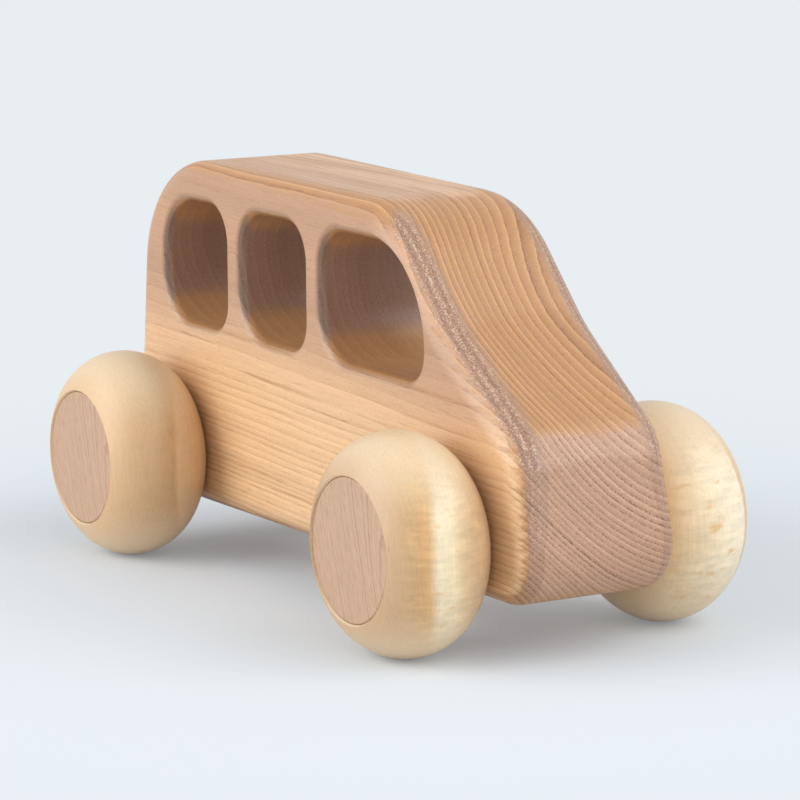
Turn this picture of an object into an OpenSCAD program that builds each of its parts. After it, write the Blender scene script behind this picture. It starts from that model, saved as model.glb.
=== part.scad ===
// Wooden toy bus: a one-piece body with three windows cut right through it, two dowel
// axles that turn in the body, and four ball-shaped wheels glued to the ends of the axles.
// +X is the way the bus drives, +Y its left side, +Z up. The ground is z = 0.

/* [Body] */
// Width across the flat sides
body_w = 36; // [30:0.5:44]
// Height from the underside to the rear end of the roof
body_h = 75.5; // [68:0.5:86]
// Height of the underside above the ground
ground_gap = 11.5; // [8:0.25:14]
// Radius rounded along the edges of both sides
edge_r = 4.5; // [2.5:0.25:6]
// Radius of the same edges at the brow, along the windscreen and at the front end of the roof
front_edge_r = 7; // [2.5:0.25:8]
// Forward lean of the rear panel, from its foot to the roof
rear_lean = 7.6; // [0:0.2:14]
// Drop of the roof from its rear end to the windscreen
roof_fall = 1.2; // [0:0.1:4]
// Backward lean of the nose, from its foot to the brow
nose_lean = 4.6; // [0:0.1:8]
// Height of the brow, where the nose turns into the bonnet, above the underside
brow_h = 32.5; // [26:0.5:38]
// Distance from the foot of the nose back to the cowl, where the bonnet meets the windscreen
cowl_back = 32.1; // [28:0.1:38]
// Height of the cowl above the underside
cowl_h = 52; // [46:0.2:56]
// Distance from the foot of the nose back to the front end of the roof
roof_back = 54; // [50:0.2:66]

/* [Outline radii] */
// Corner between the rear panel and the underside
rear_foot_r = 9; // [7:0.5:14]
// Corner between the underside and the nose
nose_foot_r = 11; // [7:0.5:12]
// Brow of the nose
brow_r = 14.5; // [8:0.5:20]
// Hollow at the cowl
cowl_r = 39; // [10:1:60]
// Corner between the windscreen and the roof
roof_front_r = 29.5; // [10:0.5:32]
// Corner between the roof and the rear panel
roof_rear_r = 26; // [10:0.5:32]

/* [Windows] */
// Height of the window sills above the underside
sill_h = 39.7; // [37:0.1:43]
// Height of the roof above the windows, at the front end of the roof
roof_bar = 7.7; // [5:0.1:12]
// Width of each of the two rear windows
window_w = 27.3; // [20:0.1:29]
// Width of the pillars between the windows
pillar_w = 7; // [5:0.1:12]
// Distance from the foot of the rear panel to the first window
rear_post = 17.5; // [14:0.1:24]
// Width of the post between the front window and the cowl
cowl_post = 8.8; // [6:0.1:14]
// Width of the post along the windscreen
screen_post = 4.6; // [3:0.1:6]
// Radius of the upper corners
head_r = 8; // [4:0.5:10]
// Radius at both ends of the front window's sloping edge
screen_head_r = 19; // [4:0.5:24]
// Radius of the rear window's upper rear corner, which follows the roof's
rear_head_r = 12; // [4:0.5:13]
// Radius of the front corners at the sill
sill_front_r = 6.5; // [4:0.5:10]
// Radius of the rear corners at the sill
sill_rear_r = 11; // [4:0.5:13]
// Radius rounded along the edges of the window openings
window_edge_r = 2.2; // [1:0.1:2.8]

/* [Axles] */
// Distance between the two axles
wheelbase = 117; // [108:0.5:130]
// Distance from the rear axle back to the foot of the rear panel
rear_reach = 21.6; // [18:0.2:26]
// Distance from the front axle forward to the foot of the nose
front_reach = 28.6; // [25:0.2:34]
// Diameter of the dowel axles
axle_d = 10; // [6:0.5:12]
// Running clearance between axle and body, on the radius
axle_clear = 0.25; // [0.1:0.05:0.5]
// Bevel at the axle ends
axle_bevel = 0.8; // [0.2:0.1:1.5]

/* [Wheels] */
// Diameter of the wheels
wheel_d = 45; // [40:0.5:52]
// Width of the wheels
wheel_w = 23.4; // [18:0.2:24.4]
// Radius of the round tread, seen in section
tread_r = 12.7; // [12.3:0.1:16]
// Side play between each wheel and the body
wheel_play = 0.7; // [0.4:0.1:1.5]
// Width of the wheel's flat face left round the disc that covers the axle end
disc_rim = 0.2; // [0:0.1:5]
// Thickness of the disc
disc_t = 5; // [3:0.25:7]
// Depth of the disc's face below the wheel's face
disc_sink = 0.3; // [0:0.05:0.8]
// Bevel round the face of the disc and round its seat
disc_bevel = 0.5; // [0.1:0.05:1]
// Glue gap in the wheel, on the radius
glue_gap = 0.05; // [0.02:0.01:0.1]

/* [Hidden] */

$fn = 96;
// Largest turn between two points of a rounded corner, and between two rings of a rounded edge
corner_step = 7;
edge_step = 15;
// Largest share of a side that the arcs at its two ends take
arc_room = 0.98;
// A cut runs this far past the faces that it opens
over = 1;

body_wood = "#c58f5c";
wheel_wood = "#e3c08e";
disc_wood = "#d3ae86";
dowel_wood = "#d8b27c";

body_half = body_w / 2;
wheel_half = wheel_w / 2;
axle_z = wheel_d / 2;
wheel_y = body_half + wheel_play + wheel_half;
// The disc's seat, and the axle ends that it covers, measured from the wheel's middle
seat_z = wheel_half - disc_sink - disc_t;
axle_len = 2 * (wheel_y + seat_z);
// Radii of the tread's arc centre, of the wheel's flat faces and of the disc's seat
core_r = wheel_d / 2 - tread_r;
face_r = core_r + sqrt(max(0, tread_r * tread_r - wheel_half * wheel_half));
seat_r = face_r - disc_rim;

// The six corners of the body's outline, seen from its right side: [x, z, radius, edge radius].
// x = 0 lies midway between the axles.
rear_foot_x = -wheelbase / 2 - rear_reach;
nose_foot_x = wheelbase / 2 + front_reach;
roof_z = ground_gap + body_h;
cowl = [nose_foot_x - cowl_back, ground_gap + cowl_h];
roof_front = [nose_foot_x - roof_back, roof_z - roof_fall];
body_corners = [
    [rear_foot_x, ground_gap, rear_foot_r, edge_r],
    [nose_foot_x, ground_gap, nose_foot_r, edge_r],
    [nose_foot_x - nose_lean, ground_gap + brow_h, brow_r, front_edge_r],
    [cowl.x, cowl.y, cowl_r, front_edge_r],
    [roof_front.x, roof_front.y, roof_front_r, front_edge_r],
    [rear_foot_x + rear_lean, roof_z, roof_rear_r, edge_r],
];

// The windows' outlines in the same form, without an edge radius, from the rear window to the front one
sill_z = ground_gap + sill_h;
head_z = roof_front.y - roof_bar;
window_pitch = window_w + pillar_w;
rear_window_x = rear_foot_x + rear_post;
front_window_x = rear_window_x + 2 * window_pitch;
front_window_end = cowl.x - cowl_post;

// The front window's sloping edge runs along the windscreen.
// A point p lies on it where screen_normal * p = screen_edge.
screen_dir = (roof_front - cowl) / norm(roof_front - cowl);
screen_normal = [screen_dir.y, -screen_dir.x];
screen_edge = screen_normal * cowl - screen_post;
screen_foot_z = (screen_edge - screen_normal.x * front_window_end) / screen_normal.y;
screen_head_x = (screen_edge - screen_normal.y * head_z) / screen_normal.x;

function box_window(from, rear_r) = [
    [from, sill_z, sill_rear_r],
    [from + window_w, sill_z, sill_front_r],
    [from + window_w, head_z, head_r],
    [from, head_z, rear_r],
];

window_outlines = [
    box_window(rear_window_x, rear_head_r),
    box_window(rear_window_x + window_pitch, head_r),
    [
        [front_window_x, sill_z, sill_rear_r],
        [front_window_end, sill_z, sill_front_r],
        [front_window_end, screen_foot_z, screen_head_r],
        [screen_head_x, head_z, screen_head_r],
        [front_window_x, head_z, head_r],
    ],
];

// Corner i of a closed outline, counted round and round, and the way from it to the next one
function corner(corners, i) = corners[(i + len(corners)) % len(corners)];
function place(corners, i) = let (c = corner(corners, i)) [c.x, c.y];
function side(corners, i) = place(corners, i + 1) - place(corners, i);
// How far the outline turns at corner i, and how far the corner's arc reaches along its sides
function turn(corners, i) =
    let (u = side(corners, i - 1), w = side(corners, i))
    atan2(u.x * w.y - u.y * w.x, u * w);
function arc_reach(corners, i) = corner(corners, i)[2] * tan(abs(turn(corners, i)) / 2);
// The share of their radius that the two arcs on the side after corner i can have before they meet
function side_share(corners, i) =
    min(1, arc_room * norm(side(corners, i)) / (arc_reach(corners, i) + arc_reach(corners, i + 1)));

// The arc that rounds corner i, as a list of [point, outward normal, edge radius]
function corner_arc(corners, i) =
    let (
        r = corner(corners, i)[2] * min(side_share(corners, i - 1), side_share(corners, i)),
        bend = turn(corners, i),
        u = side(corners, i - 1) / norm(side(corners, i - 1)),
        first_normal = [u.y, -u.x],
        start = place(corners, i) - u * r * tan(abs(bend) / 2),
        centre = start - sign(bend) * r * first_normal,
        from = atan2(first_normal.y, first_normal.x),
        steps = ceil(abs(bend) / corner_step)
    )
    [
        for (k = [0 : steps])
            let (at = from + bend * k / max(steps, 1), n = [cos(at), sin(at)])
            [centre + sign(bend) * r * n, n, corner(corners, i)[3]]
    ];

// A closed outline with rounded corners, anticlockwise, as a list of [point, outward normal, edge radius]
function rounded_outline(corners) = [for (i = [0 : len(corners) - 1]) each corner_arc(corners, i)];

// The outline at width y, moved inwards by inset
function ring(outline, inset, y) =
    [for (q = outline) let (p = q[0] - inset * q[1]) [p.x, y, p.y]];

// The outline on its rounded edge, t degrees on from the faces that run across the width.
// side is -1 on the right of the bus and 1 on its left.
function edge_ring(outline, t, side) = [
    for (q = outline)
        let (p = q[0] - q[2] * (1 - cos(t)) * q[1])
        [p.x, side * (body_half - q[2] * (1 - sin(t))), p.y]
];

body_outline = rounded_outline(body_corners);

// The bus is stored with the middle of its length at x = 0
front_end = max([for (q = body_outline) q[0].x]);
rear_end = min(-wheelbase / 2 - axle_z, min([for (q = body_outline) q[0].x]));
middle_x = (front_end + rear_end) / 2;

// A solid through rings of equally many points, ordered along +Y
module loft(rings) {
    n = len(rings[0]);
    last = (len(rings) - 1) * n;
    walls = [
        for (k = [0 : len(rings) - 2], i = [0 : n - 1])
            let (a = k * n + i, b = k * n + (i + 1) % n)
            each [[a, b, b + n], [a, b + n, a + n]]
    ];
    near_cap = [0, each [n - 1 : -1 : 1]];
    far_cap = [for (i = [0 : n - 1]) last + i];
    polyhedron([for (r = rings) each r], concat(walls, [near_cap, far_cap]));
}

// The body's outline carried across its width, with both long edges rounded over
module rounded_block() {
    near = [for (t = [90 : -edge_step : 0]) edge_ring(body_outline, t, -1)];
    far = [for (t = [0 : edge_step : 90]) edge_ring(body_outline, t, 1)];
    loft(concat(near, far));
}

// The space of one window: a straight throat that flares towards both sides of the body
module window_cut(corners) {
    outline = rounded_outline(corners);
    flare = 90 - edge_step;
    stations = [
        [
            window_edge_r * (1 - cos(flare)) + (over + window_edge_r * (1 - sin(flare))) * tan(flare),
            -body_half - over
        ],
        for (t = [flare : -edge_step : 0])
            [window_edge_r * (1 - cos(t)), window_edge_r * (1 - sin(t)) - body_half],
    ];
    near = [for (s = stations) ring(outline, -s[0], s[1])];
    far = [for (i = [len(stations) - 1 : -1 : 0]) ring(outline, -stations[i][0], -stations[i][1])];
    loft(concat(near, far));
}

// One axle's bore across the body
module axle_bore(x) {
    translate([x, 0, axle_z])
        rotate([90, 0, 0])
            cylinder(h = body_w + 2 * over, r = axle_d / 2 + axle_clear, center = true);
}

module body() {
    color(body_wood)
        translate([-middle_x, 0, 0])
            difference() {
                rounded_block();
                for (w = window_outlines) window_cut(w);
                for (x = [-wheelbase / 2, wheelbase / 2]) axle_bore(x);
            }
}

// A dowel with bevelled ends, at the axle whose place is x
module axle(x) {
    r = axle_d / 2;
    half = axle_len / 2;
    color(dowel_wood)
        translate([x - middle_x, 0, axle_z])
            rotate([90, 0, 0])
                rotate_extrude()
                    polygon([
                        [0, -half], [r - axle_bevel, -half], [r, axle_bevel - half],
                        [r, half - axle_bevel], [r - axle_bevel, half], [0, half],
                    ]);
}

// Places a turned piece on the axle at x. side is -1 on the right of the bus and 1 on its left,
// and the piece's own +Z points away from the body.
module at_wheel(x, side) {
    translate([x - middle_x, side * wheel_y, axle_z])
        rotate([-90 * side, 0, 0])
            children();
}

// Half the wheel's section: a round tread cut off flat at both faces
module wheel_blank() {
    intersection() {
        union() {
            translate([core_r, 0]) circle(tread_r);
            translate([0, -wheel_half]) square([core_r, wheel_w]);
        }
        translate([0, -wheel_half]) square([wheel_d, wheel_w]);
    }
}

// What is bored out of that section: the axle's hole, the disc's seat and the bevel at its rim
module wheel_bores() {
    hole_r = axle_d / 2 + glue_gap;
    translate([0, -wheel_half - over]) square([hole_r, wheel_w]);
    translate([0, seat_z]) square([seat_r, wheel_w]);
    polygon([
        [0, wheel_half - disc_bevel], [seat_r, wheel_half - disc_bevel],
        [seat_r + disc_bevel + over, wheel_half + over], [0, wheel_half + over],
    ]);
}

module wheel(x, side) {
    color(wheel_wood)
        at_wheel(x, side)
            rotate_extrude()
                difference() {
                    wheel_blank();
                    wheel_bores();
                }
}

module hub_disc(x, side) {
    r = seat_r - glue_gap;
    face_z = wheel_half - disc_sink;
    color(disc_wood)
        at_wheel(x, side)
            rotate_extrude()
                polygon([
                    [0, seat_z], [r, seat_z], [r, face_z - disc_bevel], [r - disc_bevel, face_z], [0, face_z],
                ]);
}

front_x = wheelbase / 2;
rear_x = -wheelbase / 2;
right = -1;
left = 1;

body();
axle(front_x);  // front_axle
axle(rear_x);  // rear_axle
wheel(front_x, right);  // front_right_wheel
wheel(front_x, left);  // front_left_wheel
wheel(rear_x, right);  // rear_right_wheel
wheel(rear_x, left);  // rear_left_wheel
hub_disc(front_x, right);  // front_right_hub_disc
hub_disc(front_x, left);  // front_left_hub_disc
hub_disc(rear_x, right);  // rear_right_hub_disc
hub_disc(rear_x, left);  // rear_left_hub_disc
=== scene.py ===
"""Looks of a wooden toy bus: an oiled elm body with routed edges, rolling on wheels turned from birch.

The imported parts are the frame. Each dressed piece is drawn in millimetres, in the bus's own axes (+X the way
it drives, +Y its left side, +Z up, the ground at z = 0), and stored in metres.
"""
import logging
import math
from collections.abc import Iterable, Sequence
from dataclasses import dataclass, field
from enum import Enum
from functools import reduce

import bpy
import numpy as np
from mathutils import Matrix, Vector


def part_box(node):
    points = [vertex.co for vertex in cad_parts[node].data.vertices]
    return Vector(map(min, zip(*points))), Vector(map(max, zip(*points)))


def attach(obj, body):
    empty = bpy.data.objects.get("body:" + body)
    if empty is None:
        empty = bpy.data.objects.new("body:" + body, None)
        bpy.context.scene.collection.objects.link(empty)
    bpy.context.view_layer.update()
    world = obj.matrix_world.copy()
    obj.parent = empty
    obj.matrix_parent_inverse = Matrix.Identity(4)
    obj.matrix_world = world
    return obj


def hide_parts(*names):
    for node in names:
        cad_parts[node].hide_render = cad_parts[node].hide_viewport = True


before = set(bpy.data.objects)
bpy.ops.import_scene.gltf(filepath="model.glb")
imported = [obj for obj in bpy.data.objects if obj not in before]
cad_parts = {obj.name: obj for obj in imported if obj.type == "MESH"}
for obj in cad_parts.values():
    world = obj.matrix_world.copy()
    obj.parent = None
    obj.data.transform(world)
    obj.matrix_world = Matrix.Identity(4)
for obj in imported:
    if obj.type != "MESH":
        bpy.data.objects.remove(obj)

log = logging.getLogger("toy_bus")

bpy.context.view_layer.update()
MM = 0.001
# How far a grain pattern stands up from the surface.
BUMP_MM = 0.1
# The axes of the log that lie across its grain.
ACROSS = (0.0, 1.0, 1.0)
# How far through a year the wood has its middle tone, which lines of little contrast keep to.
MIDDLE_TONE = 0.4
# How much of each coarser octave's strength a finer one keeps in a noise, and where most of its values lie.
NOISE_ROUGHNESS = 0.6
NOISE_BAND = (0.3, 0.7)
# How many points are measured against an outline at once.
NEAREST_BLOCK = 4000

Material = bpy.types.Material
Node = bpy.types.Node
Piece = bpy.types.Object
Socket = bpy.types.NodeSocket
Tree = bpy.types.NodeTree
Colour = tuple[float, float, float, float]
Faces = list[tuple[int, ...]]
Inputs = dict[str | int, object]
Size = tuple[float, float, float]
Span = tuple[Socket | float, Socket | float]
Stops = Sequence[tuple[float, str]]


class End(Enum):
    """The two ends of the bus, each with one axle."""

    FRONT = "front"
    REAR = "rear"


class Side(Enum):
    """The two sides of the bus, by the sign of y there."""

    RIGHT = -1
    LEFT = 1


def linear(colour: str) -> Colour:
    """Turns an sRGB colour into linear light.

    Args:
        colour: Hex colour, as "#rrggbb".

    Returns:
        Linear red, green and blue, and an alpha of 1.
    """
    shares = [int(colour[i:i + 2], 16) / 255 for i in (1, 3, 5)]
    red, green, blue = (s / 12.92 if s <= 0.04045 else ((s + 0.055) / 1.055) ** 2.4 for s in shares)
    return red, green, blue, 1.0


def add_node(
    tree: Tree, kind: str, inputs: Inputs | None = None, stops: Stops = (), **settings: object
) -> Node:
    """Adds one node to a tree.

    Args:
        tree: Node tree that gets the node.
        kind: Type of the node.
        inputs: Values by the name or number of an input. An output socket is linked, anything else is set.
        stops: Places and hex colours along the node's colour ramp.
        **settings: Properties of the node itself.

    Returns:
        The new node.
    """
    node = tree.nodes.new(kind)
    for name, value in settings.items():
        setattr(node, name, value)
    for key, value in (inputs or {}).items():
        if isinstance(value, Socket):
            tree.links.new(value, node.inputs[key])
        else:
            node.inputs[key].default_value = value
    for i, (place, colour) in enumerate(stops):
        elements = node.color_ramp.elements
        element = elements[i] if i < 2 else elements.new(place)
        element.position = place
        element.color = linear(colour)
    return node


@dataclass(frozen=True)
class Graph:
    """The nodes of a material or of the world, with short ways to add those that recur."""

    tree: Tree

    def calc(self, operation: str, *values: Socket | float) -> Socket:
        """Reckons with numbers: adds a Math node and gives its result."""
        return add_node(self.tree, "ShaderNodeMath", dict(enumerate(values)), operation=operation).outputs[0]

    def product(self, *factors: Socket) -> Socket:
        """Multiplies two or more numbers, from the left."""
        return reduce(lambda so_far, factor: self.calc("MULTIPLY", so_far, factor), factors)

    def vector(self, operation: str, *values: Socket | Size) -> Socket:
        """Reckons with vectors: adds a Vector Math node and gives its result, a vector or a number."""
        node = add_node(self.tree, "ShaderNodeVectorMath", dict(enumerate(values)), operation=operation)
        return node.outputs["Value" if operation in ("LENGTH", "DOT_PRODUCT") else "Vector"]

    def parts(self, vector: Socket) -> bpy.types.NodeOutputs:
        """Splits a vector into X, Y and Z."""
        return add_node(self.tree, "ShaderNodeSeparateXYZ", {0: vector}).outputs

    def remap(
        self, value: Socket, span: Span = (0.0, 1.0), to: Span = (0.0, 1.0), smooth: bool = False
    ) -> Socket:
        """Carries a number from one range over to another, and stops at its ends.

        Args:
            value: The number.
            span: Start and end of its range.
            to: Where they are carried to.
            smooth: Whether it leaves the start and reaches the end gently.

        Returns:
            The carried number.
        """
        return add_node(self.tree, "ShaderNodeMapRange", {
            "Value": value, "From Min": span[0], "From Max": span[1], "To Min": to[0], "To Max": to[1],
        }, interpolation_type="SMOOTHSTEP" if smooth else "LINEAR").outputs[0]

    def ramp(self, value: Socket, stops: Stops) -> Socket:
        """Turns a number from 0 to 1 into a colour."""
        return add_node(self.tree, "ShaderNodeValToRGB", {"Fac": value}, stops=stops).outputs["Color"]

    def blend(self, factor: Socket, first: Socket | Colour, second: Socket | Colour) -> Socket:
        """Goes from one colour to another as a factor goes from 0 to 1."""
        inputs = {"Factor": factor, 6: first, 7: second}
        return add_node(self.tree, "ShaderNodeMix", inputs, data_type="RGBA").outputs[2]

    def shade(self, colour: Socket, factor: Socket) -> Socket:
        """Makes a colour lighter or darker by a factor."""
        inputs = {0: colour, "Scale": factor}
        return add_node(self.tree, "ShaderNodeVectorMath", inputs, operation="SCALE").outputs[0]

    def noise(self, place: Socket, size: Size, detail: float, output: str = "Fac") -> Socket:
        """Draws noise whose spots are stretched to a size.

        Args:
            place: Place in the wood, in millimetres.
            size: Size of a spot along each axis, in millimetres.
            detail: Octaves of finer noise.
            output: Which result of the noise is wanted.

        Returns:
            That result.
        """
        scaled = self.vector("MULTIPLY", place, tuple(1 / s for s in size))
        return add_node(self.tree, "ShaderNodeTexNoise", {
            "Vector": scaled, "Scale": 1.0, "Detail": detail, "Roughness": NOISE_ROUGHNESS}).outputs[output]

    def line_noise(self, where: Socket, scale: float, detail: float) -> Socket:
        """Draws noise along a line: scale spots to a unit, with detail octaves of finer noise."""
        inputs = {"W": where, "Scale": scale, "Detail": detail}
        return add_node(self.tree, "ShaderNodeTexNoise", inputs, noise_dimensions="1D").outputs["Fac"]

    def link(self, socket: Socket, node: Node, name: str) -> None:
        """Links a socket to a node's input of that name."""
        self.tree.links.new(socket, node.inputs[name])

    def bump(self, height: Socket, shader: Node, strength: float) -> None:
        """Lets a pattern stand up from the surface, so that it catches the light."""
        inputs = {"Height": height, "Strength": strength, "Distance": BUMP_MM * MM}
        self.link(add_node(self.tree, "ShaderNodeBump", inputs).outputs["Normal"], shader, "Normal")


def new_material(name: str) -> tuple[Material, Graph, Node]:
    """Makes a material with an empty Principled shader.

    Args:
        name: Name of the material.

    Returns:
        The material, its nodes and its Principled node.
    """
    material = bpy.data.materials.new(name)
    material.use_nodes = True
    graph = Graph(material.node_tree)
    graph.tree.nodes.clear()
    shader = add_node(graph.tree, "ShaderNodeBsdfPrincipled")
    add_node(graph.tree, "ShaderNodeOutputMaterial", {"Surface": shader.outputs["BSDF"]})
    return material, graph, shader


def new_piece(name: str, points: np.ndarray, faces: Faces) -> Piece:
    """Makes a smooth-shaded mesh object.

    Args:
        name: Name of the piece.
        points: Its points in millimetres, one per row.
        faces: Its faces, as point numbers.

    Returns:
        The new object, linked to the scene.
    """
    mesh = bpy.data.meshes.new(name)
    mesh.from_pydata((np.asarray(points) * MM).tolist(), [], faces)
    mesh.validate()
    mesh.shade_smooth()
    piece = bpy.data.objects.new(name, mesh)
    bpy.context.scene.collection.objects.link(piece)
    return piece


def finish_normals(piece: Piece, crease: float) -> None:
    """Keeps the creases of a smooth piece and flattens the shading of its flats.

    Args:
        piece: Piece to work on.
        crease: Angle between two faces, in degrees, from which their edge is sharp.
    """
    piece.data.set_sharp_from_angle(angle=math.radians(crease))
    normals = piece.modifiers.new("flat_shading", "WEIGHTED_NORMAL")
    normals.keep_sharp = True


@dataclass(frozen=True)
class Corner:
    """One rounded corner of an outline seen from the right, and the radius of its edge at the sides."""

    x: float
    z: float
    radius: float
    edge: float = 0.0


@dataclass(frozen=True)
class Outline:
    """A closed outline, anticlockwise, with an outward normal and an edge radius at each of its points."""

    points: np.ndarray
    normals: np.ndarray
    edges: np.ndarray

    @classmethod
    def rounded(cls, corners: Sequence[Corner], spacing: float, room: float = 0.98) -> "Outline":
        """Rounds the corners of a polygon.

        Args:
            corners: Corners in order, anticlockwise.
            spacing: Largest distance between two points.
            room: Largest share of a side that the arcs at its two ends take.

        Returns:
            The outline through arcs and straight runs.
        """
        places = np.array([(c.x, c.z) for c in corners])
        radii = np.array([c.radius for c in corners])
        sides = np.roll(places, -1, axis=0) - places
        lengths = np.linalg.norm(sides, axis=1)
        ways = sides / lengths[:, None]
        before = np.roll(ways, 1, axis=0)
        turns = np.arctan2(
            before[:, 0] * ways[:, 1] - before[:, 1] * ways[:, 0], np.sum(before * ways, axis=1))
        reach = radii * np.tan(np.abs(turns) / 2)
        share = np.minimum(1, room * lengths / (reach + np.roll(reach, -1)))
        radii = radii * np.minimum(share, np.roll(share, 1))
        reach = radii * np.tan(np.abs(turns) / 2)

        points, normals, edges = [], [], []
        for i, turn in enumerate(turns):
            edge, next_edge = corners[i].edge, corners[(i + 1) % len(corners)].edge
            square = np.array([before[i, 1], -before[i, 0]])
            centre = places[i] - before[i] * reach[i] - np.sign(turn) * radii[i] * square
            start = math.atan2(square[1], square[0])
            steps = max(4, math.ceil(radii[i] * abs(turn) / spacing))
            for angle in start + turn * np.arange(steps + 1) / steps:
                normal = np.array([math.cos(angle), math.sin(angle)])
                points.append(centre + np.sign(turn) * radii[i] * normal)
                normals.append(normal)
                edges.append(edge)
            run = lengths[i] - reach[i] - reach[(i + 1) % len(corners)]
            steps = max(1, math.ceil(run / spacing))
            leave = points[-1]
            for k in range(1, steps):
                points.append(leave + ways[i] * run * k / steps)
                normals.append(normals[-1])
                edges.append(edge + (next_edge - edge) * k / steps)
        return cls(np.array(points), np.array(normals), np.array(edges))

    @classmethod
    def circle(cls, x: float, z: float, radius: float, count: int) -> "Outline":
        """Draws a circle.

        Args:
            x: Place of its middle along the bus.
            z: Height of its middle.
            radius: Its radius.
            count: Number of its points.

        Returns:
            The circle, without an edge radius.
        """
        angles = 2 * math.pi * np.arange(count) / count
        normals = np.column_stack([np.cos(angles), np.sin(angles)])
        return cls(np.array([x, z]) + radius * normals, normals, np.zeros(count))

    def ring(self, y: float, grow: float) -> np.ndarray:
        """Places the outline at width y, moved outwards by grow, as rows of x, y, z."""
        flat = self.points + grow * self.normals
        return np.column_stack([flat[:, 0], np.full(len(flat), y), flat[:, 1]])

    def nearest(self, flat: np.ndarray) -> tuple[np.ndarray, np.ndarray]:
        """Measures how deep inside the outline points lie.

        Args:
            flat: Points as rows of x and z.

        Returns:
            The distance of each point to the outline, measured along the normal of the nearest outline point,
            and the edge radius there.
        """
        depths, edges = [], []
        for block in np.array_split(flat, max(1, len(flat) // NEAREST_BLOCK)):
            gaps = self.points[None] - block[:, None]
            nearest = np.argmin(np.sum(gaps ** 2, axis=2), axis=1)
            picked = gaps[np.arange(len(block)), nearest]
            depths.append(np.sum(picked * self.normals[nearest], axis=1))
            edges.append(self.edges[nearest])
        return np.concatenate(depths), np.concatenate(edges)


def loft(rings: Sequence[np.ndarray]) -> tuple[np.ndarray, Faces]:
    """Skins a solid through rings of equally many points.

    Args:
        rings: Rings in order along +Y, each anticlockwise seen from the right side.

    Returns:
        The points and the faces of a closed mesh.
    """
    count = len(rings[0])
    faces: Faces = []
    for k in range(len(rings) - 1):
        for i in range(count):
            a, b = k * count + i, k * count + (i + 1) % count
            faces.append((a, a + count, b + count, b))
    last = (len(rings) - 1) * count
    faces.append(tuple(range(count)))
    faces.append(tuple(range(last + count - 1, last - 1, -1)))
    return np.vstack(rings), faces


def lathe(profile: Sequence[tuple[float, float]], segments: int) -> tuple[np.ndarray, Faces]:
    """Turns a closed profile about the Z axis.

    Args:
        profile: Points as (radius, height), anticlockwise in that plane. A radius of 0 is a point on the
            axis.
        segments: Number of steps round the axis.

    Returns:
        The points and the faces of a closed mesh.
    """
    points: list[tuple[float, float, float]] = []
    rows: list[list[int]] = []
    for radius, height in profile:
        count = segments if radius > 0 else 1
        rows.append([len(points) + i % count for i in range(segments)])
        for i in range(count):
            angle = 2 * math.pi * i / segments
            points.append((radius * math.cos(angle), radius * math.sin(angle), height))
    faces: Faces = []
    for low, high in zip(rows, rows[1:] + rows[:1]):
        for i in range(segments):
            j = (i + 1) % segments
            corners = tuple(dict.fromkeys((low[i], low[j], high[j], high[i])))
            if len(corners) > 2:
                faces.append(corners)
    return np.array(points), faces


def carve(block: Piece, cutters: Iterable[Piece]) -> None:
    """Cuts pieces out of a block and removes them.

    Args:
        block: Piece that is cut. Its mesh is replaced.
        cutters: Pieces that are taken away from it.
    """
    cutters = list(cutters)
    for cutter in cutters:
        cut = block.modifiers.new(cutter.name, "BOOLEAN")
        cut.operation = "DIFFERENCE"
        cut.solver = "EXACT"
        cut.object = cutter
    bpy.context.view_layer.update()
    whole = block.evaluated_get(bpy.context.evaluated_depsgraph_get())
    mesh = bpy.data.meshes.new_from_object(whole)
    block.modifiers.clear()
    mesh.name = block.name
    old, block.data = block.data, mesh
    bpy.data.meshes.remove(old)
    for cutter in cutters:
        bpy.data.meshes.remove(cutter.data)


def wood_space(graph: Graph, pith: tuple[float, float], lean: float) -> tuple[Socket, Socket]:
    """Measures places from the pith of the log that a piece was cut from.

    Args:
        graph: Nodes of the material.
        pith: Where the pith passes the piece's middle, as y and z in millimetres.
        lean: How far the pith rises for each millimetre along X.

    Returns:
        The place in the log in millimetres, with X along the grain, and the piece's own normal.
    """
    space = add_node(graph.tree, "ShaderNodeTexCoord")
    place = add_node(graph.tree, "ShaderNodeMapping", {
        "Vector": space.outputs["Object"], "Location": (0.0, -pith[0], -pith[1]),
        "Rotation": (0.0, math.atan(lean), 0.0), "Scale": (1 / MM, 1 / MM, 1 / MM)})
    return place.outputs[0], space.outputs["Normal"]


@dataclass(frozen=True)
class Cut(Graph):
    """The nodes of the body's material, with sockets that tell how its surface was cut.

    place is the place in the log in millimetres. along and sideways tell how squarely the surface faces along
    and across the bus, from 0 to 1, and rise how squarely it faces up, from -1 to 1. routed runs from 0 on
    the outline's faces to 1 on the flat sides, inside from 0 on the sides to 1 in the windows, and flared is
    above 0 on a window's edge.
    """

    place: Socket
    along: Socket
    sideways: Socket
    rise: Socket
    routed: Socket
    inside: Socket
    flared: Socket


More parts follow.
